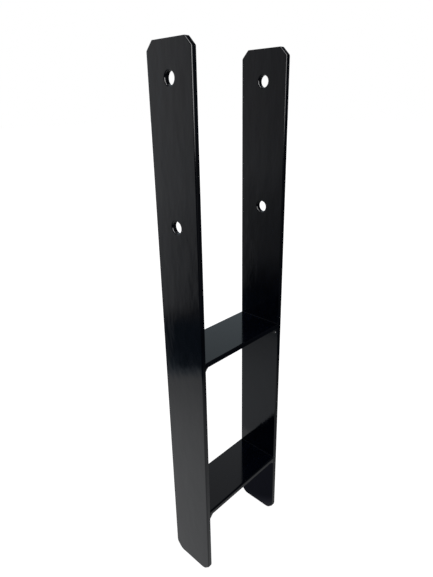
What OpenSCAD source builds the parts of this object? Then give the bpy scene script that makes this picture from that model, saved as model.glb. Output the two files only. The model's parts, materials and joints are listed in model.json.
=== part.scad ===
// Post anchor of welded flat steel bar, for setting in concrete.
// Two upright bars hold a timber post between them, and two cross plates tie them into an H.
// X runs across the gap, Y across the width of the bars, Z up from the feet.

/* [Upright bars] */
// Width of the flat bar
bar_width = 60; // [40:1:100]
// Thickness of the flat bar
bar_thickness = 6; // [4:0.5:10]
// Length of each upright bar
bar_length = 620; // [540:5:900]
// Leg of the clipped corners at the top ends
top_clip = 8; // [3:0.5:15]
// Leg of the clipped corners at the feet
foot_clip = 8; // [3:0.5:15]
// Radius of the rolled long edges of the bar stock
rolled_edge = 1; // [0.4:0.1:1.6]

/* [Post pocket] */
// Clear gap between the bars, for the post
post_gap = 128; // [70:1:200]
// Height of the post's seat above the feet
seat_height = 307; // [200:1:380]

/* [Cross plates] */
// Thickness of both cross plates
plate_thickness = 6; // [4:0.5:10]
// Height of the lower plate's top face above the feet
tie_height = 98; // [40:1:150]

/* [Bolt holes] */
// Diameter of the bolt holes
bolt_hole = 13; // [8:0.5:18]
// Distance from the top of the bars to the upper holes
upper_hole_drop = 32; // [20:1:60]
// Distance between the upper and the lower holes
hole_spacing = 136; // [40:1:160]

/* [Welds] */
// Leg of the fillet welds under the plates
weld_leg = 5; // [3:0.25:8]
// How far the centres of the weld ripples lie behind the welded faces
weld_sink = 2; // [0.5:0.25:4]
// Distance along the bead from one ripple to the next
ripple_pitch = 3; // [1.5:0.25:5]
// Distance from each end of a bead to the edge of the bar
weld_end_gap = 1.5; // [1:0.25:10]

/* [Hidden] */
$fn = 64;
// Extra length of a cutting tool past the faces it cuts
cut_margin = 1;
bar_middle = post_gap / 2 + bar_thickness / 2;
upper_hole_height = bar_length - upper_hole_drop;
lower_hole_height = upper_hole_height - hole_spacing;
// A ripple is a ball that meets both welded faces one leg away from their corner
ripple_radius = sqrt(pow(weld_leg + weld_sink, 2) + pow(weld_sink, 2));
// How far the last ball reaches along the corner past its own centre
ripple_reach = sqrt(pow(ripple_radius, 2) - 2 * pow(weld_sink, 2));
ripple_span = bar_width - 2 * (weld_end_gap + ripple_reach);
ripple_steps = max(1, round(ripple_span / ripple_pitch));
paint = [0.05, 0.05, 0.055];
weld_paint = [0.09, 0.09, 0.095];

// Flat bar section with rolled edges, thickness along X and width along Y
module flat_bar_section(thickness) {
    edge_x = thickness / 2 - rolled_edge;
    edge_y = bar_width / 2 - rolled_edge;
    square([2 * edge_x, bar_width], center = true);
    square([thickness, 2 * edge_y], center = true);
    for (sx = [-1, 1], sy = [-1, 1])
        translate([sx * edge_x, sy * edge_y])
            circle(r = rolled_edge);
}

// Side outline of an upright bar, with its width along X and its length along Y
module bar_outline() {
    half = bar_width / 2;
    polygon([
        [half - foot_clip, 0], [half, foot_clip],
        [half, bar_length - top_clip], [half - top_clip, bar_length],
        [top_clip - half, bar_length], [-half, bar_length - top_clip],
        [-half, foot_clip], [foot_clip - half, 0]
    ]);
}

// Round hole through an upright bar, along X
module bolt_bore(height) {
    depth = bar_thickness + 2 * cut_margin;
    translate([0, 0, height])
        rotate([0, 90, 0])
            cylinder(d = bolt_hole, h = depth, center = true);
}

// Upright bar: rolled stock, corners clipped at both ends, two bolt holes
module upright_bar() {
    depth = bar_thickness + 2 * cut_margin;
    difference() {
        intersection() {
            linear_extrude(height = bar_length)
                flat_bar_section(bar_thickness);
            rotate([90, 0, 90])
                linear_extrude(height = depth, center = true)
                    bar_outline();
        }
        bolt_bore(upper_hole_height);
        bolt_bore(lower_hole_height);
    }
}

// Cross plate: a length of flat bar that fills the gap, with its top face at a given height
module cross_plate(top) {
    translate([0, 0, top - plate_thickness / 2])
        rotate([0, 90, 0])
            linear_extrude(height = post_gap, center = true)
                flat_bar_section(plate_thickness);
}

// Fillet weld under the right end of a plate: a row of overlapping ripples, cut off at both faces
module fillet_weld() {
    intersection() {
        for (i = [0:ripple_steps])
            translate([weld_sink, ripple_span * (i / ripple_steps - 0.5), weld_sink])
                sphere(r = ripple_radius);
        translate([-2 * weld_leg, -bar_width / 2, -2 * weld_leg])
            cube([2 * weld_leg, bar_width, 2 * weld_leg]);
    }
}

// Places a weld in the corner of a bar and a plate's underside
module weld_right(top) {
    translate([post_gap / 2, 0, top - plate_thickness])
        fillet_weld();
}

// The same weld at the left bar
module weld_left(top) {
    mirror([1, 0, 0])
        weld_right(top);
}

module left_bar() {
    color(paint)
        translate([-bar_middle, 0, 0])
            upright_bar();
}

module right_bar() {
    color(paint)
        translate([bar_middle, 0, 0])
            upright_bar();
}

module seat_plate() {
    color(paint)
        cross_plate(seat_height);
}

module tie_plate() {
    color(paint)
        cross_plate(tie_height);
}

module seat_weld_left() {
    color(weld_paint)
        weld_left(seat_height);
}

module seat_weld_right() {
    color(weld_paint)
        weld_right(seat_height);
}

module tie_weld_left() {
    color(weld_paint)
        weld_left(tie_height);
}

module tie_weld_right() {
    color(weld_paint)
        weld_right(tie_height);
}

left_bar();
right_bar();
seat_plate();
tie_plate();
seat_weld_left();
seat_weld_right();
tie_weld_left();
tie_weld_right();
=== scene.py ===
# %% [markdown]
# # A welded post anchor in gloss black
#
# The object is a post anchor: two upright flat bars, tied into an H by two cross plates. A timber post
# stands on the upper plate between the bars, and the lower half is cast into concrete. It is welded from
# cut lengths of flat bar and then coated with thick black enamel, which rounds every edge.
#
# The solids are already made, so this lesson loads them as a fixed frame and builds a finer skin over
# each one: edges with real radii, holes with rounded rims, rippled welds, and a gloss paint.

# %% Load the solids
import json
from math import cos, pi, radians, sin, tan

import bmesh
import bpy
from mathutils import Matrix, Vector


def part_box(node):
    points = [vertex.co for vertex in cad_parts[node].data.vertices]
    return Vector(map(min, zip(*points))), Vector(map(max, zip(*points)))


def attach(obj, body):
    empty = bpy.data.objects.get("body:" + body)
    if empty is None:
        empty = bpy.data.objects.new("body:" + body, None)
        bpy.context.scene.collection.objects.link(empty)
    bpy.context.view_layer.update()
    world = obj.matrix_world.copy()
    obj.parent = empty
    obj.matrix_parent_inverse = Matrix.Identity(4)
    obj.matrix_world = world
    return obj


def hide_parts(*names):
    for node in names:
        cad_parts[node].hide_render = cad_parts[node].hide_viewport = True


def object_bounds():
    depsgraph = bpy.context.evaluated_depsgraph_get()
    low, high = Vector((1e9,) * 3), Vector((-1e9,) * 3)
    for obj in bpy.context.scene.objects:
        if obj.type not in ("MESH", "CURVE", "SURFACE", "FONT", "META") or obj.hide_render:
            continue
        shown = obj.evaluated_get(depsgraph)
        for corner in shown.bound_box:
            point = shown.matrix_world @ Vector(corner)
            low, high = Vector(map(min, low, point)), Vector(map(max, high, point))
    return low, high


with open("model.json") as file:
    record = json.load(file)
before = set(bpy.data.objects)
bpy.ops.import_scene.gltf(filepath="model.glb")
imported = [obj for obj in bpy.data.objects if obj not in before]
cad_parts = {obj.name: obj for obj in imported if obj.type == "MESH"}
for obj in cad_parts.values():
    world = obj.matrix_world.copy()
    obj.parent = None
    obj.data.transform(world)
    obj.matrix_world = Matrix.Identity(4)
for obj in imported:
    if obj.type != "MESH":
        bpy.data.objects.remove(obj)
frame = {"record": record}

solid_low, solid_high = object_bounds()
print("solids reach from", tuple(solid_low), "to", tuple(solid_high))

# %% [markdown]
# ## Sizes from the frame
#
# Nothing is measured twice: the width, thickness and places of the pieces come from the boxes of the
# solids, and the bolt holes from the record's mounts. The fine sizes, which the solids leave out, are
# chosen in the cells that need them. All lengths are in metres.

# %% Read the sizes
bar_low, bar_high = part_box("left_bar")
bar_thickness = bar_high.x - bar_low.x
bar_width = bar_high.y - bar_low.y
bar_length = bar_high.z - bar_low.z
half_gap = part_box("right_bar")[0].x

seat_low, seat_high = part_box("seat_plate")
plate_thickness = seat_high.z - seat_low.z
plate_tops = {"seat": seat_high.z, "tie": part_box("tie_plate")[1].z}

weld_low, weld_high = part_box("seat_weld_right")
weld_leg = weld_high.z - weld_low.z

bolt_mounts = [m for m in frame["record"]["mounts"] if m["kind"] == "bore"]
bolt_heights = [m["pos_m"][2] for m in bolt_mounts]
bolt_radius = bolt_mounts[0]["dims"]["r_mm"] / 1000
print(f"bars {bar_thickness:.4f} x {bar_width:.4f} x {bar_length:.4f}, gap {2 * half_gap:.4f}")
print("bolt holes at", bolt_heights, "radius", bolt_radius)

# %% [markdown]
# ## Arithmetic on sockets
#
# A node tree can be built link by link, but a sum of ten nodes is then twenty lines that nobody reads.
# Here one small class wraps a socket: adding or multiplying two of them adds a Math node, and one method
# makes every other node from its type, its settings and its inputs. A few short methods name what is
# used often. The same class serves shaders and Geometry Nodes.

# %% A wire in a node tree
class Wire:
    """One output socket of a node tree. Sums add Math nodes, and node() adds any other node."""

    def __init__(self, tree, socket=None):
        self.tree = tree
        self.socket = socket

    def node(self, kind, settings=None, inputs=None, output=0):
        made = self.tree.nodes.new(kind)
        for name, value in (settings or {}).items():
            setattr(made, name, value)
        for key, value in (inputs or {}).items():
            if isinstance(value, Wire):
                self.tree.links.new(value.socket, made.inputs[key])
            else:
                made.inputs[key].default_value = value
        return Wire(self.tree, made.outputs[output] if made.outputs else None)

    def other(self, output):
        """Another output of the same node."""
        return Wire(self.tree, self.socket.node.outputs[output])

    def maths(self, operation, *values):
        return self.node("ShaderNodeMath", {"operation": operation}, dict(enumerate(values)))

    def fade(self, start, end, low=0.0, high=1.0):
        """Eases from low to high while this value goes from start to end."""
        inputs = {"Value": self, "From Min": start, "From Max": end, "To Min": low, "To Max": high}
        return self.node("ShaderNodeMapRange", {"interpolation_type": "SMOOTHSTEP"}, inputs)

    def split(self):
        """The X, Y and Z of a vector."""
        parts = self.node("ShaderNodeSeparateXYZ", inputs={0: self})
        return parts.other("X"), parts.other("Y"), parts.other("Z")

    def vector(self, x, y, z):
        return self.node("ShaderNodeCombineXYZ", inputs={0: x, 1: y, 2: z})

    def vector_maths(self, operation, inputs, output=0):
        return self.node("ShaderNodeVectorMath", {"operation": operation}, inputs, output)

    def mix_colours(self, factor, first, second):
        """A mix of two colours. Sockets 6 and 7 of a Mix node take them, and output 2 gives the mix."""
        inputs = {"Factor": factor, 6: first, 7: second}
        return self.node("ShaderNodeMix", {"data_type": "RGBA"}, inputs, output=2)

    def tinted(self, colour):
        """A colour at this brightness. A Math node would turn the colour grey."""
        return self.vector_maths("SCALE", {0: colour, "Scale": self})

    def __add__(self, value):
        return self.maths("ADD", self, value)

    def __radd__(self, value):
        return self.maths("ADD", value, self)

    def __sub__(self, value):
        return self.maths("SUBTRACT", self, value)

    def __rsub__(self, value):
        return self.maths("SUBTRACT", value, self)

    def __mul__(self, value):
        return self.maths("MULTIPLY", self, value)

    def __rmul__(self, value):
        return self.maths("MULTIPLY", value, self)

    def __truediv__(self, value):
        return self.maths("DIVIDE", self, value)

    def __pow__(self, value):
        return self.maths("POWER", self, value)


print("a wire can be added, multiplied, faded, split and mixed")

# %% [markdown]
# ## Gloss black enamel
#
# The real paint is a thick, almost mirror-like black. What the eye reads is what it reflects, so the
# colour is close to zero and the work goes into the surface. Hot-rolled bar is never quite flat: long,
# shallow waves run along it and bend the reflections. Over them lies the fine orange peel of the paint.
# Both could be displaced geometry, but they are far too shallow for any mesh, so they are a bump with
# heights in metres. The roughness drifts a little, because paint dries duller where it is thin, and small
# specks of dust are duller still.

# %% The paint
PEEL_SIZE = 0.0021
SPECK_SIZE = 0.0009
SPECK_DULLNESS = 0.03
DRIFT_SHARE = 0.6
THICK_PAINT = (0.001, 0.0024, 0.0082, 1.0)
THIN_PAINT = (0.0022, 0.0042, 0.0122, 1.0)
PAINT_IOR = 1.5


def enamel(name, wave_length, wave_height, peel_height, roughness):
    """Black gloss paint. wave_length holds the size of the rolling waves along X, Y and Z."""
    material = bpy.data.materials.new(name)
    material.use_nodes = True
    shader = material.node_tree.nodes["Principled BSDF"]
    start = Wire(material.node_tree)
    place = start.node("ShaderNodeTexCoord", output="Object")

    def noise(cell, detail):
        scale = tuple(1 / c for c in cell)
        at = start.node("ShaderNodeMapping", inputs={"Vector": place, "Scale": scale})
        return start.node("ShaderNodeTexNoise", inputs={"Vector": at, "Scale": 1.0, "Detail": detail})

    waves = noise(wave_length, 2.0)
    peel = noise((PEEL_SIZE,) * 3, 1.0)
    drift = noise(tuple(DRIFT_SHARE * c for c in wave_length), 4.0)
    specks = noise((SPECK_SIZE,) * 3, 2.0).fade(0.62, 0.74)

    height = waves * wave_height + peel * peel_height
    bump = start.node("ShaderNodeBump", inputs={"Height": height, "Distance": 1.0, "Strength": 1.0})
    tone = start.mix_colours(drift.fade(0.3, 0.7), THICK_PAINT, THIN_PAINT)
    gloss = drift.fade(0.25, 0.75, 0.8 * roughness, 1.2 * roughness) + specks * SPECK_DULLNESS

    links = material.node_tree.links
    links.new(tone.socket, shader.inputs["Base Color"])
    links.new(gloss.socket, shader.inputs["Roughness"])
    links.new(bump.socket, shader.inputs["Normal"])
    shader.inputs["IOR"].default_value = PAINT_IOR
    print("paint", name, "has", len(material.node_tree.nodes), "nodes")
    return material


# %% Three coats
bar_paint = enamel(
    "bar_enamel", wave_length=(0.05, 0.012, 0.03), wave_height=0.0002,
    peel_height=0.0000004, roughness=0.10,
)
plate_paint = enamel(
    "plate_enamel", wave_length=(0.09, 0.03, 0.05), wave_height=0.00001,
    peel_height=0.0000004, roughness=0.09,
)
weld_paint = enamel(
    "weld_enamel", wave_length=(0.004, 0.004, 0.004), wave_height=0.00003,
    peel_height=0.000004, roughness=0.16,
)

# %% [markdown]
# ## Slabs with rounded edges
#
# A length of flat bar is a slab whose outline is drawn once and carried through its thickness. A Bevel
# modifier could round it, but the long edges are rolled and the ends are sheared, with different radii,
# and a mirror finish shows every uneven normal. So the slab is lofted: each ring of points follows the
# outline, drawn in by the radius of its edge. A narrow flat strip beside each round edge keeps the wide
# faces perfectly flat to the light.

# %% Outlines
FLAT_STRIP = 0.0004
CORNER_STEPS = 8
HOLE_POINTS = 72


def soft_corners(corners, radii):
    """Points of a closed outline, anticlockwise, with an arc of its own radius in place of each corner."""
    points = []
    for i, (corner, radius) in enumerate(zip(corners, radii)):
        way_in = (corner - corners[i - 1]).normalized()
        way_out = (corners[(i + 1) % len(corners)] - corner).normalized()
        turn = way_in.angle_signed(way_out) * -1
        first = corner - way_in * radius * tan(turn / 2)
        centre = first + Vector((-way_in.y, way_in.x)) * radius
        points.append(first - way_in * FLAT_STRIP)
        for step in range(CORNER_STEPS + 1):
            points.append(centre + Matrix.Rotation(turn * step / CORNER_STEPS, 2) @ (first - centre))
        points.append(points[-1] + way_out * FLAT_STRIP)
    return points


def round_hole(centre, radius):
    """Points of a hole, clockwise, so that the metal lies on the left of the path as on an outline."""
    angles = [-2 * pi * i / HOLE_POINTS for i in range(HOLE_POINTS)]
    return [centre + radius * Vector((cos(a), sin(a))) for a in angles]


def outward(points, i):
    """The direction out of the metal at a point, long enough to move both edges there by one."""
    before = (points[i] - points[i - 1]).normalized()
    after = (points[(i + 1) % len(points)] - points[i]).normalized()
    one = Vector((before.y, -before.x))
    two = Vector((after.y, -after.x))
    return (one + two) / (1 + one.dot(two))


print("each outline corner has", CORNER_STEPS, "steps and each hole", HOLE_POINTS, "points")

# %% The profile of a rounded edge
ARC_STEPS = 10


def edge_profile(radius, half):
    """Inset and height of each ring of a rounded edge, from the lower face to the upper one."""
    upper = [(0.0, half - radius - FLAT_STRIP)]
    for step in range(ARC_STEPS + 1):
        a = pi / 2 * step / ARC_STEPS
        upper.append((radius * (1 - cos(a)), half - radius * (1 - sin(a))))
    upper.append((radius + FLAT_STRIP, half))
    lower = [(inset, -height) for inset, height in reversed(upper)]
    return lower + upper


print("each rounded edge has", ARC_STEPS, "steps")

# %% Loft a slab
def keep_piece(name, mesh, bm):
    """Writes the built faces into a mesh, counts open edges and puts the piece into the scene."""
    open_edges = sum(not e.is_manifold for e in bm.edges)
    bm.to_mesh(mesh)
    bm.free()
    mesh.shade_smooth()
    piece = bpy.data.objects.new(name, mesh)
    bpy.context.collection.objects.link(piece)
    print(f"{name}: {len(mesh.polygons)} faces, {open_edges} open edges")
    return piece


def loft_slab(name, loops, thickness, place):
    """A closed mesh from loops of (points, edge radii). place(u, v, h) gives the point in space."""
    bm = bmesh.new()
    caps = ([], [])
    for points, radii in loops:
        profiles = [edge_profile(r, thickness / 2) for r in radii]
        away = [outward(points, i) for i in range(len(points))]
        rings = []
        for level in range(len(profiles[0])):
            ring = []
            for p, n, profile in zip(points, away, profiles):
                inset, height = profile[level]
                ring.append(bm.verts.new(place(*(p - n * inset), height)))
            rings.append(ring)
        for low, high in zip(rings, rings[1:]):
            for i in range(len(low)):
                bm.faces.new((low[i - 1], low[i], high[i], high[i - 1]))
        for cap, ring in zip(caps, (rings[0], rings[-1])):
            cap += [bm.edges.get((ring[i - 1], ring[i])) for i in range(len(ring))]
    for cap in caps:
        bmesh.ops.triangle_fill(bm, use_beauty=True, edges=cap)
    bmesh.ops.recalc_face_normals(bm, faces=bm.faces)
    # Rounding can leave a point a hair outside the box of the solids, so it is moved back in.
    for v in bm.verts:
        v.co = [min(max(c, low), high) for c, low, high in zip(v.co, solid_low, solid_high)]
    return keep_piece(name, bpy.data.meshes.new(name), bm)


print("each slab has", len(edge_profile(FLAT_STRIP, bar_thickness / 2)), "rings")

# %% [markdown]
# ## From a skin to a piece of the anchor
#
# Every skin is painted, rides on the anchor's one body and stands for its solid, which is then hidden.
# The four calls are always the same, so one function makes them. A skin with no solid of its own, such
# as a line of paint, only rides.

# %% Dress a piece
def dress(piece, material, slot, *nodes):
    """Paints a piece, lets it ride on the anchor and stand for its solids."""
    piece.data.materials.clear()
    piece.data.materials.append(material)
    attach(piece, "root")
    if nodes:
        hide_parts(*nodes)
    print(piece.name, "wears", material.name, "and stands for", nodes or "no solid")


# %% [markdown]
# ## The upright bars
#
# Each upright is flat bar with its four corners clipped at 45 degrees and two bolt holes. The long edges
# come rounded from the rolling mill, each a little different, which shows in the bright line along the
# front. The sheared ends are sharper. Paint has rounded the clipped corners and the rims of the holes,
# and the coat inside the holes narrows them slightly. The bar could be a cube with cuts, but then every
# edge would have one radius. So the side view is drawn flat and carried across the thickness. The clip
# repeats a size of the solids, because no box tells it.

# %% The outline of a bar
CLIP = 0.008
BAR_FRONT_EDGE = {"left": 0.0013, "right": 0.0008}
BAR_BACK_EDGE = 0.0009
CLIP_EDGE = 0.0012
END_EDGE = 0.0005
HOLE_RIM = 0.0015
HOLE_PAINT = 0.0004
TOP_SOFTNESS = 0.002
FOOT_SOFTNESS = 0.006
NEARBY = 0.00001


def bar_loops(front_edge):
    """The side view of a bar and its two holes, with the edge radius at every point."""
    half = bar_width / 2
    top = bar_length
    corners = [
        (half - CLIP, 0), (half, CLIP), (half, top - CLIP), (half - CLIP, top),
        (CLIP - half, top), (-half, top - CLIP), (-half, CLIP), (CLIP - half, 0),
    ]
    softness = [TOP_SOFTNESS if v > top / 2 else FOOT_SOFTNESS for u, v in corners]
    outline = soft_corners([Vector(c) for c in corners], softness)

    def edge_at(p):
        if half - abs(p.x) < NEARBY:
            return front_edge if p.x < 0 else BAR_BACK_EDGE
        return END_EDGE if min(p.y, top - p.y) < NEARBY else CLIP_EDGE

    loops = [(outline, [edge_at(p) for p in outline])]
    for height in bolt_heights:
        hole = round_hole(Vector((0, height)), bolt_radius - HOLE_PAINT)
        loops.append((hole, [HOLE_RIM] * len(hole)))
    return loops


print("painted holes are", round(2 * (bolt_radius - HOLE_PAINT), 4), "m across")

# %% Make the bars
sides = {"left": -1, "right": 1}

for name, side in sides.items():
    middle = side * (half_gap + bar_thickness / 2)
    upright = loft_slab(
        name + "_upright", bar_loops(BAR_FRONT_EDGE[name]), bar_thickness,
        lambda u, v, h: (middle + h, u, v),
    )
    dress(upright, bar_paint, "bar_paint", name + "_bar")

# %% [markdown]
# ## The cross plates
#
# Both cross plates are short lengths of flat bar, laid flat between the uprights. They could be bevelled
# boxes, but the loft is at hand and gives each long edge its own radius: the front edge of the lower
# plate is rounder than that of the upper one, and catches more light. Here the outline is the section of
# the bar, and the slab is as thick as the gap is wide. The cut ends butt against the uprights and keep
# only a hairline edge.

# %% Make the plates
PLATE_FRONT_EDGE = {"seat": 0.001, "tie": 0.002}
PLATE_BACK_EDGE = 0.0014
PLATE_LOWER_EDGE = 0.0005
BUTT_EDGE = 0.00006


def plate_loops(front_edge):
    """The section of a plate, seen along the gap."""
    y = bar_width / 2
    z = plate_thickness / 2
    corners = [(-y, -z), (y, -z), (y, z), (-y, z)]
    edges = [PLATE_LOWER_EDGE, PLATE_LOWER_EDGE, PLATE_BACK_EDGE, front_edge]
    section = soft_corners([Vector(c) for c in corners], edges)
    return [(section, [BUTT_EDGE] * len(section))]


for name, top in plate_tops.items():
    middle = top - plate_thickness / 2
    plate = loft_slab(
        name + "_crossplate", plate_loops(PLATE_FRONT_EDGE[name]), 2 * half_gap,
        lambda u, v, h: (h, u, middle + v),
    )
    dress(plate, plate_paint, "plate_paint", name + "_plate")

# %% [markdown]
# ## A bead in a corner
#
# Under each end of a plate lies a fillet weld. A welder lays it as a row of small pools, so its face has
# curved ripples that bow along the run, its toes wander a little, and its ends are rounded. It could be
# sculpted, but it is a shape that follows a rule, so Geometry Nodes make it: a flat grid is bent round
# the corner line, with its distance from the corner worked out from the angle, the ripples and a noise.
#
# Thick paint also gathers in the inner corner on top of each plate, in a thin hollow line. It is the
# same shape with no ripples and a hollow face, so one tree makes both.

# %% The named sizes of a bead
BEAD_SIZES = [
    "Length", "Leg", "Nose", "End swell", "Hollow", "Ripple pitch", "Ripple depth",
    "Crater radius", "Crater depth", "Wander", "Seed",
]


def bead_inputs(tree):
    """Gives the tree its sockets, and returns a wire from each size and from the paint."""
    for name in BEAD_SIZES:
        tree.interface.new_socket(name, in_out="INPUT", socket_type="NodeSocketFloat")
    tree.interface.new_socket("Paint", in_out="INPUT", socket_type="NodeSocketMaterial")
    tree.interface.new_socket("Geometry", in_out="OUTPUT", socket_type="NodeSocketGeometry")
    ask = Wire(tree).node("NodeGroupInput")
    return {name: ask.other(name) for name in [*BEAD_SIZES, "Paint"]}


print("a bead has", len(BEAD_SIZES), "sizes and a paint")

# %% The rippled face
RIPPLE_BOW = 0.9
RIPPLE_JITTER = 0.8
SECOND_RIPPLE = 0.4
SECOND_RIPPLE_LEAD = 0.8
ACROSS_WAVES = 1.5


def bead_face(start, size):
    """Places on the bent grid, a mask that is zero at its border, and the noise of this bead."""
    along, across, _ = start.node("GeometryNodeInputPosition").split()
    y = along * size["Length"]
    angle = (across + 0.5) * (pi / 2)
    c = angle.maths("COSINE", angle)
    s = angle.maths("SINE", angle)
    middle = 2 * c * s

    def noise(scale, shift):
        """Noise about zero, with scale waves per metre of the run. The shift keeps its uses apart."""
        at = start.vector(y * scale, across * ACROSS_WAVES, size["Seed"] + shift)
        return start.node("ShaderNodeTexNoise", inputs={"Vector": at, "Scale": 1.0, "Detail": 2.0}) - 0.5

    to_end = (0.5 - along.maths("ABSOLUTE", along)) * size["Length"]
    short = 1 - to_end.maths("MINIMUM", to_end / size["Nose"], 1.0)
    rounding = (1 - short * short) ** 0.5

    run = y / size["Ripple pitch"] + middle * RIPPLE_BOW + noise(260.0, 11.0) * RIPPLE_JITTER
    beat = run * (2 * pi)
    second = beat.maths("SINE", 2 * beat + SECOND_RIPPLE_LEAD)
    ripple = beat.maths("SINE", beat) + SECOND_RIPPLE * second

    end_swell = (to_end / size["Leg"]).fade(0.3, 1.6, 1.0, 0.0) * size["End swell"]
    swell = 1 + noise(140.0, 0.0) * size["Wander"] + end_swell
    section = size["Leg"] * (c + s) ** (0 - size["Hollow"])
    reach = (section * swell + ripple * size["Ripple depth"] * middle) * rounding
    bent = start.vector(0 - reach * c, y, 0 - reach * s)
    return bent, rounding * middle.fade(0.0, 0.5), noise


print("ripples bow by", RIPPLE_BOW, "of their pitch")

# %% [markdown]
# ## The crater
#
# Where the welder stops, the last pool shrinks as it freezes and leaves a crater: a dent with raised
# rings round it. A Boolean with a ball would cut a sharp bowl. Instead each point of the face moves by a
# rule of its distance from the crater's middle, which leaves soft rings and adds no faces.

# %% Press the crater
CRATER_ASIDE = 0.42
CRATER_AHEAD = 0.3
CRATER_RAGGED = 0.35
FIRST_RING = 0.6
SECOND_RING = 0.25
PRESS_ASIDE = 0.5
PRESS_ALONG = 0.7


def press_crater(start, size, bent, inside_border, noise):
    """Moves the places near one end of a bead to form a dent with two rings."""
    aside = 0 - CRATER_ASIDE * size["Leg"]
    ahead = CRATER_AHEAD * size["Nose"] - size["Length"] / 2
    centre = start.vector(aside, ahead, aside)
    apart = start.vector_maths("DISTANCE", {0: bent, 1: centre}, output="Value")
    ring = apart / size["Crater radius"] + noise(500.0, 30.0) * CRATER_RAGGED
    first = ring.fade(0.3, 0.62) * ring.fade(0.62, 1.0, 1.0, 0.0)
    second = ring.fade(1.0, 1.25) * ring.fade(1.25, 1.6, 1.0, 0.0)
    profile = ring.fade(0.0, 0.5, 1.0, 0.0) - FIRST_RING * first - SECOND_RING * second
    dent = size["Crater depth"] * inside_border * profile
    inward = start.vector(dent * PRESS_ASIDE, dent * PRESS_ALONG, dent * PRESS_ASIDE)
    return start.vector_maths("ADD", {0: bent, 1: inward})


print("a crater lies", CRATER_ASIDE, "of a leg from the corner")

# %% [markdown]
# ## Close the bead
#
# The bent grid is an open sheet, and a piece should be closed. Its border edges are the ones with a
# single face. They are extruded by nothing, and the new border is drawn in to the corner line, where its
# points are merged. The tree then realizes its mesh and sets the paint, so nothing is left as an instance.

# %% The whole tree
ALONG_STEPS = 240
ACROSS_STEPS = 28
MERGE_WITHIN = 1e-6


def close_bead(start, face):
    """Draws the open border in to the corner line. Sockets 2 and 3 of a Compare node are whole numbers."""
    faces_beside = start.node("GeometryNodeInputMeshEdgeNeighbors")
    equal = {"data_type": "INT", "operation": "EQUAL"}
    border = start.node("FunctionNodeCompare", equal, {2: faces_beside, 3: 1})
    wall_inputs = {"Mesh": face, "Selection": border, "Offset Scale": 0.0}
    walls = start.node("GeometryNodeExtrudeMesh", {"mode": "EDGES"}, wall_inputs)
    _, along, _ = start.node("GeometryNodeInputPosition").split()
    corner_line = start.vector(0.0, along, 0.0)
    drawn = {"Geometry": walls, "Selection": walls.other("Top"), "Position": corner_line}
    closed = start.node("GeometryNodeSetPosition", inputs=drawn)
    return start.node("GeometryNodeMergeByDistance", inputs={"Geometry": closed, "Distance": MERGE_WITHIN})


def bead_tree():
    tree = bpy.data.node_groups.new("corner_bead", "GeometryNodeTree")
    size = bead_inputs(tree)
    start = Wire(tree)
    counts = {"Vertices X": ALONG_STEPS, "Vertices Y": ACROSS_STEPS}
    grid = start.node("GeometryNodeMeshGrid", inputs=counts)
    bent, inside_border, noise = bead_face(start, size)
    shaped = press_crater(start, size, bent, inside_border, noise)
    face = start.node("GeometryNodeSetPosition", inputs={"Geometry": grid, "Position": shaped})
    real = start.node("GeometryNodeRealizeInstances", inputs={"Geometry": close_bead(start, face)})
    painted = start.node("GeometryNodeSetMaterial", inputs={"Geometry": real, "Material": size["Paint"]})
    start.node("NodeGroupOutput", inputs={"Geometry": painted})
    print("corner bead tree has", len(tree.nodes), "nodes")
    return tree


corner_bead = bead_tree()

# %% [markdown]
# ## From a tree to a plain mesh
#
# A modifier could stay on each bead, but a finished piece is plain mesh that needs nothing else. So the
# tree runs on an empty source object, its sizes set by the sockets' identifiers, and the result is
# copied, turned into its corner and kept. Smooth shading would smear over the sharp toes of a bead, so
# edges steeper than a limit stay sharp.

# %% Lay one bead
SHARP_ANGLE = radians(50)


def lay(tree, name, sizes, turn, corner):
    """Runs a tree with its sizes, then turns the result into its corner and keeps a plain mesh."""
    source = bpy.data.objects.new(name + "_source", bpy.data.meshes.new(name + "_source"))
    bpy.context.collection.objects.link(source)
    modifier = source.modifiers.new(tree.name, "NODES")
    modifier.node_group = tree
    for item in tree.interface.items_tree:
        if item.in_out == "INPUT":
            modifier[item.identifier] = sizes[item.name]
    evaluated = source.evaluated_get(bpy.context.evaluated_depsgraph_get())
    mesh = bpy.data.meshes.new_from_object(evaluated)
    mesh.name = name
    source.modifiers.remove(modifier)
    bpy.data.objects.remove(source)
    mesh.transform(Matrix.Translation(corner) @ turn.to_4x4())
    bm = bmesh.new()
    bm.from_mesh(mesh)
    bmesh.ops.recalc_face_normals(bm, faces=bm.faces)
    piece = keep_piece(name, mesh, bm)
    mesh.set_sharp_from_angle(angle=SHARP_ANGLE)
    return piece


print("edges steeper than", round(SHARP_ANGLE, 3), "radians stay sharp")

# %% [markdown]
# ## Welds and paint lines
#
# The tree lays its bead in the corner of the right bar and a plate's underside. Mirrored copies would
# turn the faces inside out, so half turns bring it to the other corners: about Z to the left bar, about X
# to the top of the plate, about Y to both. Each bead has a seed of its own. The weld at the left end of
# the lower plate is fuller than the rest at its ends, with a flatter face.

# %% Lay the beads
BEAD_END_GAP = 0.0003
WELD_LEG_SHARE = 1.08
END_SWELL = {"seat_left": 0.15, "seat_right": 0.15, "tie_left": 0.5, "tie_right": 0.15}
FACE_HOLLOW = {"seat_left": 1.3, "seat_right": 1.3, "tie_left": 1.0, "tie_right": 1.3}
SEED_STEP = 7.0
LINE_SEED = 50.0

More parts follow.
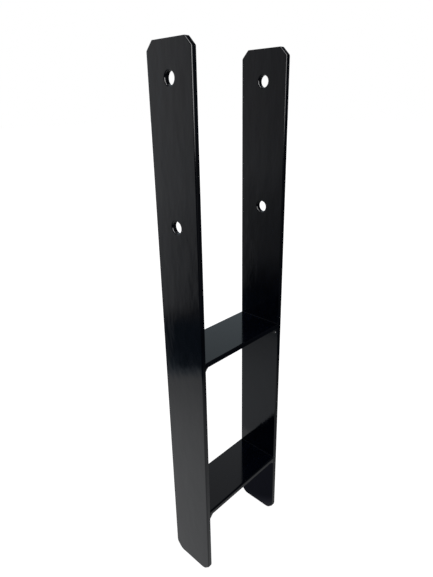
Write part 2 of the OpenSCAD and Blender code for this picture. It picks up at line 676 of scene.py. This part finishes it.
weld_sizes = {
    "Length": bar_width - 2 * BEAD_END_GAP, "Leg": WELD_LEG_SHARE * weld_leg, "Nose": 0.0018,
    "Ripple pitch": 0.0029, "Ripple depth": 0.00018,
    "Crater radius": 0.002, "Crater depth": 0.0003,
    "Wander": 0.22, "Paint": weld_paint,
}
line_sizes = {
    "Length": bar_width - 2 * BAR_FRONT_EDGE["left"], "Leg": 0.0003, "Nose": 0.002,
    "End swell": 0.0, "Hollow": 2.5,
    "Ripple pitch": 0.01, "Ripple depth": 0.0,
    "Crater radius": 0.001, "Crater depth": 0.0,
    "Wander": 0.5, "Paint": plate_paint,
}
under_turns = {"right": Matrix.Identity(3), "left": Matrix.Rotation(pi, 3, "Z")}
upper_turns = {"right": Matrix.Rotation(pi, 3, "X"), "left": Matrix.Rotation(pi, 3, "Y")}

seed = 1.0
for plate_name, top in plate_tops.items():
    for side_name, side in sides.items():
        label = f"{plate_name}_{{}}_{side_name}"
        end = f"{plate_name}_{side_name}"
        own = {"End swell": END_SWELL[end], "Hollow": FACE_HOLLOW[end], "Seed": seed}
        under = Vector((side * half_gap, 0, top - plate_thickness))
        weld = lay(corner_bead, label.format("bead"), weld_sizes | own, under_turns[side_name], under)
        dress(weld, weld_paint, "weld_paint", label.format("weld"))
        own = {"Seed": seed + LINE_SEED}
        upper = Vector((side * half_gap, 0, top))
        line = lay(corner_bead, label.format("paint_line"), line_sizes | own, upper_turns[side_name], upper)
        dress(line, plate_paint, "plate_paint")
        seed += SEED_STEP

# %% [markdown]
# ## The last pool
#
# At the front of the right bar the photograph shows a lump under the upper plate, where the welder held
# the arc a little longer. It could be a sculpted blob, but it is one more bead from the same tree: short,
# thick, and with a deep crater.

# %% Lay the last pool
POOL_LEG = 0.0088
POOL_LENGTH = 0.011

pool_sizes = {
    "Length": POOL_LENGTH, "Leg": POOL_LEG, "Nose": 0.0032, "End swell": 0.0, "Hollow": 0.75,
    "Ripple pitch": 0.0029, "Ripple depth": 0.0001, "Crater radius": 0.0036, "Crater depth": 0.0018,
    "Wander": 0.15, "Seed": seed, "Paint": weld_paint,
}
pool_middle = BEAD_END_GAP + POOL_LENGTH / 2 - bar_width / 2
pool_place = Vector((half_gap, pool_middle, seat_high.z - plate_thickness))
last_pool = lay(corner_bead, "seat_last_pool", pool_sizes, under_turns["right"], pool_place)
dress(last_pool, weld_paint, "weld_paint")

# %% [markdown]
# ## A plain studio
#
# Black gloss has no light of its own: it is drawn by its surroundings. The anchor stands on a plain pale
# floor under an even white sky. A few lamps would show in the paint as hard shapes. So, as in a
# photographer's studio, large soft things that the camera never sees shape the reflections: a pale sheet
# under the feet with dark cloth round it, paler walls behind, darkness on the right, and a soft light
# behind the camera that draws a bright line along the rounded edges.

# %% The floor that the camera sees
FLOOR_WIDTH = 30
FLOOR_GREY = 0.9
FLOOR_GLOW = 0.93
FLOOR_ROUGHNESS = 0.9


def stage_plane(name, size, material, matrix):
    """A flat card of the studio, which is not part of the anchor."""
    bpy.ops.mesh.primitive_plane_add(size=1)
    plane = bpy.context.object
    plane.name = name
    plane.data.transform(matrix @ Matrix.Diagonal((size[0], size[1], 1, 1)))
    plane.data.materials.append(material)
    print(name, "is", round(size[0], 3), "by", round(size[1], 3), "m")
    return plane


floor_paint = bpy.data.materials.new("pale_floor")
floor_paint.use_nodes = True
floor_shader = floor_paint.node_tree.nodes["Principled BSDF"]
floor_shader.inputs["Base Color"].default_value = (FLOOR_GREY, FLOOR_GREY, FLOOR_GREY, 1)
floor_shader.inputs["Roughness"].default_value = FLOOR_ROUGHNESS
floor_shader.inputs["Specular IOR Level"].default_value = 0.0
floor_shader.inputs["Emission Color"].default_value = (1, 1, 1, 1)
floor_shader.inputs["Emission Strength"].default_value = FLOOR_GLOW
floor = stage_plane("floor", (FLOOR_WIDTH, FLOOR_WIDTH), floor_paint, Matrix.Identity(4))
floor.visible_glossy = False
floor.visible_diffuse = False

# %% [markdown]
# ## The walls in the paint
#
# The walls could be a panorama picture, but a rule is enough: they are pale behind the anchor, fall off
# towards the far left, and a dark screen stands on the right. The rule takes a direction and gives a
# brightness, so the sky and the floor can both use it, and the floor fades into the walls with no seam.

# %% The walls
PALE_WALL = 0.62
SCREEN_WAY = (0.906, -0.423)
LEFT_WALL = 1.63
LEFT_WALL_FALL = 1.64
LEFT_BAR_WAY = 0.656
LEAST_LEFT = 0.6


def wall_tone(x, y):
    """Brightness of the walls towards (x, y), and how far left of the left bar's view that points."""
    flat = (x * x + y * y) ** 0.5
    leftness = (0 - x) / flat
    left_fall = LEFT_WALL - LEFT_WALL_FALL * leftness
    pale = left_fall.maths("MINIMUM", left_fall, PALE_WALL) * leftness.fade(-0.2, 0.5, 0.77, 1.0)
    to_screen = (SCREEN_WAY[0] * x + SCREEN_WAY[1] * y) / flat
    screen = to_screen.fade(0.5, 0.75, 1.0, 0.13) * to_screen.fade(0.93, 0.98, 1.0, 0.4)
    return pale * screen, leftness.maths("MAXIMUM", leftness, LEAST_LEFT) - LEFT_BAR_WAY


print("walls are as bright as", PALE_WALL)

# %% [markdown]
# ## The floor in the paint
#
# The lower half of each bar mirrors the floor. It could be three cards, but their edges would show as
# lines in the bars. So it is one rule of the distance from the feet: a pale sheet blends into a ring of
# dark cloth, and that into a floor that fades into the walls. The sheet glows, with painted light and
# shade: it falls off to the right and the front, and a painted shade makes it dark and bluish right
# under the anchor. The cloth darkens to the right and at the front left. Only reflections see this floor.

# %% The pale sheet and the dark cloth
SHEET_CENTRE = (-0.018, 0.018)
SHEET_EDGE = 0.482
SHADE_CENTRE = (0.02, 0.025)
SHADE_STRETCH = 1.6
SHEET_TINT = (0.985, 1.0, 1.02, 1)
SHADE_TINT = (0.94, 0.99, 1.4, 1)
CLOTH_TINT = (0.64, 0.88, 1.13, 1)
FAR_TINT = (0.97, 0.99, 1.02, 1)
EDGE_GLOW_WIDTH = 0.12
FRONT_LEFT_SHADE = 0.8


def pale_sheet(x, y, far):
    """Brightness and tint of the sheet, with a painted fall-off of light and a painted shade under the
    anchor.
    """
    # Painted light: the sheet is darker to the right and to the front, where less light falls on it.
    painted_light_falloff = x.fade(-0.1, 0.3, 1.0, 0.25) * y.fade(-0.15, 0.05, 0.7, 1.0)
    # Painted shade: a dark, bluish patch on the sheet under the anchor, where the anchor shades the floor.
    aside = x - SHADE_CENTRE[0]
    ahead = y - SHADE_CENTRE[1]
    shade = (aside * aside * SHADE_STRETCH + ahead * ahead).fade(0.002, 0.007, 0.17, 1.0)
    open_sheet = far.fade(0.25, 0.5, 0.67, 0.5) * far.fade(0.05, 0.2, 0.88, 1.0)
    return open_sheet * painted_light_falloff * shade, x.mix_colours(shade, SHADE_TINT, SHEET_TINT)


def dark_cloth(x, y, far):
    """Brightness and tint of the cloth, which fades into the walls."""
    wall, leftness = wall_tone(x, y)
    behind = far.fade(0.755, 0.89, 0.0, 0.53) + far.fade(0.785, 1.28, 0.0, 0.17)
    behind = behind + far.fade(1.2, 3.0, 0.0, 0.3)
    beside = far.fade(0.66, 1.25, 0.0, 0.36) + far.fade(1.0, 4.2, 0.0, 0.66)
    to_side = leftness.fade(0.062, 0.092)
    fade_in = behind * (1 - to_side) + beside * to_side
    edge_glow = far.fade(SHEET_EDGE, SHEET_EDGE + EDGE_GLOW_WIDTH, 0.1, 0.0)
    edge_glow = edge_glow * leftness.fade(0.03, 0.065, 1.0, 0.0)
    dark = (leftness.fade(0.008, 0.034, 0.17, 0.055) + edge_glow) * x.fade(-0.2, 0.1, 1.0, 0.12)
    front_left = y.fade(-0.45, -0.2, 1.0, 0.0) * x.fade(0.0, 0.2, 1.0, 0.0)
    tone = (wall * fade_in + dark * (1 - fade_in)) * (1 - FRONT_LEFT_SHADE * front_left)
    paleness = far.fade(0.72, 0.82) + leftness.fade(0.012, 0.04, 0.6, 0.0)
    return tone, x.mix_colours(paleness, CLOTH_TINT, FAR_TINT)


print("the sheet reaches", SHEET_EDGE, "m from its centre")

# %% Lay the floor that reflections see
MIRROR_FLOOR_WIDTH = 12
MIRROR_FLOOR_DROP = 0.0005
BLUR_INSIDE = 0.024
BLUR_OUTSIDE = 0.04


def emitter(name):
    """An empty material, and a wire to start its nodes from."""
    material = bpy.data.materials.new(name)
    material.use_nodes = True
    material.node_tree.nodes.clear()
    return material, Wire(material.node_tree)


def reflections_only(card):
    card.visible_camera = False
    card.visible_diffuse = False
    card.visible_shadow = False
    card.visible_transmission = False
    card.visible_volume_scatter = False


def floor_in_reflections():
    material, start = emitter("floor_in_reflections")
    x, y, _ = start.node("ShaderNodeTexCoord", output="Object").split()
    sheet_x = x - SHEET_CENTRE[0]
    sheet_y = y - SHEET_CENTRE[1]
    far = (sheet_x * sheet_x + sheet_y * sheet_y) ** 0.5
    on_sheet = far.fade(SHEET_EDGE - BLUR_INSIDE, SHEET_EDGE + BLUR_OUTSIDE, 1.0, 0.0)
    sheet, sheet_tint = pale_sheet(x, y, far)
    cloth, cloth_tint = dark_cloth(x, y, far)
    tone = sheet * on_sheet + cloth * (1 - on_sheet)
    colour = tone.tinted(start.mix_colours(on_sheet, cloth_tint, sheet_tint))
    glow = start.node("ShaderNodeEmission", inputs={"Color": colour})
    start.node("ShaderNodeOutputMaterial", inputs={"Surface": glow})
    return material


mirror_size = (MIRROR_FLOOR_WIDTH, MIRROR_FLOOR_WIDTH)
below = Matrix.Translation((0, 0, -MIRROR_FLOOR_DROP))
mirror_floor = stage_plane("floor_in_reflections", mirror_size, floor_in_reflections(), below)
reflections_only(mirror_floor)

# %% [markdown]
# ## The soft light
#
# An Area lamp would light the whole anchor. This light is a glowing card behind the camera, and only
# reflections see it. The flat faces look elsewhere, so only edges that are round enough to look back at
# it catch it, and it draws thin bright lines along the upper front edges and in the rims of the holes.

# %% Hang the soft light
LIGHT_SIZE = (1.3, 2.1)
LIGHT_PLACE = (-0.63, -0.9, 1.35)
LIGHT_FACING = (0.63, 0.9, 0)
LIGHT_TONE = 8.0


def upright_card(name, size, middle, towards):
    """A card that only reflections see, and a wire to start the nodes of its material from."""
    facing = Vector(towards).to_track_quat("Z", "Y").to_matrix().to_4x4()
    material, start = emitter(name)
    card = stage_plane(name, size, material, Matrix.Translation(middle) @ facing)
    reflections_only(card)
    return start


light = upright_card("soft_light", LIGHT_SIZE, LIGHT_PLACE, LIGHT_FACING)
x, _, z = light.node("ShaderNodeTexCoord", output="Object").split()
upper_boost = 1 + z.fade(0.85, 1.15) * x.fade(-0.98, -0.8, 1.2, 0.0)
from_below = z.fade(0.37, 0.6, 0.0, LIGHT_TONE) * z.fade(0.9, 2.4, 1.0, 0.5)
shine = from_below * x.fade(-0.82, -0.52, 1.0, 0.42) * upper_boost
glow = light.node("ShaderNodeEmission", inputs={"Color": shine})
light.node("ShaderNodeOutputMaterial", inputs={"Surface": glow})

# %% [markdown]
# ## Two gauzes
#
# The inner face of the right bar looks past the left bar at the floor and the walls, and in the
# photograph it is darker than they are. A solid card would show as a hard shape, so two see-through
# gauzes hang behind the left bar. The lower one is an even grey. The upper one is darker, thinner
# towards the back, and fades out at its top.

# %% Hang the gauzes
GAUZE_WIDTH = 0.095
GAUZE_X = -0.05
GAUZE_Y = 0.0925
GAUZE_SEAM = 0.239
GAUZE_TOP = 0.37
GAUZE_FADE_FROM = 0.285
GREY_GAUZE = (0.6, 0.62, 0.64, 1)
BLACK = (0, 0, 0, 1)
WHITE = (1, 1, 1, 1)


def hang_gauze(name, low, high):
    middle = (GAUZE_X, GAUZE_Y, (low + high) / 2)
    return upright_card(name, (GAUZE_WIDTH, high - low), middle, (1, 0, 0))


lower = hang_gauze("grey_gauze", 0.0, GAUZE_SEAM)
veil = lower.node("ShaderNodeBsdfTransparent", inputs={"Color": GREY_GAUZE})
lower.node("ShaderNodeOutputMaterial", inputs={"Surface": veil})

upper = hang_gauze("dark_gauze", GAUZE_SEAM, GAUZE_TOP)
_, y, z = upper.node("ShaderNodeTexCoord", output="Object").split()
thin = y.fade(0.1, 0.128, 0.28, 0.65)
clear = thin + (1 - thin) * z.fade(GAUZE_FADE_FROM, GAUZE_TOP)
black = upper.node("ShaderNodeBsdfTransparent", inputs={"Color": BLACK})
white = upper.node("ShaderNodeBsdfTransparent", inputs={"Color": WHITE})
veil = upper.node("ShaderNodeMixShader", inputs={0: clear, 1: black, 2: white})
upper.node("ShaderNodeOutputMaterial", inputs={"Surface": veil})

# %% [markdown]
# ## The sky
#
# One sky has three tasks. The camera sees plain white. The paint's faint colour is lit by an even, dim
# light. Reflections see the walls, with a lamp high on the left. The Light Path node tells which ray is
# asking, so one world serves all three.

# %% Make the sky
LAMP_WAY = (-0.5, -0.05, 0.865)
LAMP_TONE = 6.0
DIM_SKY = 0.22
COOL_WALL = (0.86, 1.0, 1.08, 1)
PLAIN_WALL = (0.995, 1.0, 1.02, 1)

world = bpy.data.worlds.new("studio_sky")
bpy.context.scene.world = world
world.use_nodes = True
world.node_tree.nodes.clear()
sky = Wire(world.node_tree)
way = sky.node("ShaderNodeTexCoord", output="Generated")
x, y, height = way.split()
wall, leftness = wall_tone(x, y)
upper_left = leftness.fade(-0.05, 0.12, 0.0, 0.85) * height.fade(0.1, 0.4)
to_lamp = sky.vector_maths("DOT_PRODUCT", {0: way, 1: LAMP_WAY}, output="Value")
lamp = to_lamp.fade(0.945, 0.975, 0.0, LAMP_TONE)
walls = wall * height.fade(0.4, 0.95, 1.0, 0.5) * (1 - upper_left) + lamp
to_left = leftness.fade(-0.056, -0.03)
plainness = to_left + height.fade(0.5, 0.68, 0.0, 0.8) * (1 - to_left)
wall_colour = walls.tinted(sky.mix_colours(plainness, COOL_WALL, PLAIN_WALL))

rays = sky.node("ShaderNodeLightPath")
plain = rays.other("Is Camera Ray").fade(0.0, 1.0, DIM_SKY, 1.0)
plain_sky = sky.node("ShaderNodeBackground", inputs={"Color": plain})
wall_sky = sky.node("ShaderNodeBackground", inputs={"Color": wall_colour})
mixed = sky.node("ShaderNodeMixShader", inputs={0: rays.other("Is Glossy Ray"), 1: plain_sky, 2: wall_sky})
sky.node("ShaderNodeOutputWorld", inputs={"Surface": mixed})
bpy.context.scene.view_settings.view_transform = "Standard"
print("sky has", len(world.node_tree.nodes), "nodes")

# %% [markdown]
# ## The camera
#
# The photograph was taken close by with a wide lens, from the left and from just below the tops of the
# bars. A camera could be placed by eye, but straight edges give it more closely: those of the bars and
# plates meet in three vanishing points, which give the lens and the turn, and the known sizes give the
# distance. The picture's middle lies a little off the lens axis, so the camera has a small shift.

# %% Set the camera
CAMERA_PLACE = Vector((-0.3639, -0.3370, 0.5642))
CAMERA_AIM = Vector((0.0, 0.0140, 0.3717))
CAMERA_ROLL = radians(-1.094)
SENSOR_MM = 36.0
LENS_MM = 28.785
VERTICAL_SHIFT = -0.0121

camera_data = bpy.data.cameras.new("camera")
camera_data.sensor_width = SENSOR_MM
camera_data.lens = LENS_MM
camera_data.shift_y = VERTICAL_SHIFT
camera = bpy.data.objects.new("camera", camera_data)
bpy.context.collection.objects.link(camera)
look = (CAMERA_AIM - CAMERA_PLACE).to_track_quat("-Z", "Y").to_matrix().to_4x4()
camera.matrix_world = Matrix.Translation(CAMERA_PLACE) @ look @ Matrix.Rotation(CAMERA_ROLL, 4, "Z")
bpy.context.scene.camera = camera
print("camera stands", round((CAMERA_AIM - CAMERA_PLACE).length, 3), "m from its aim")
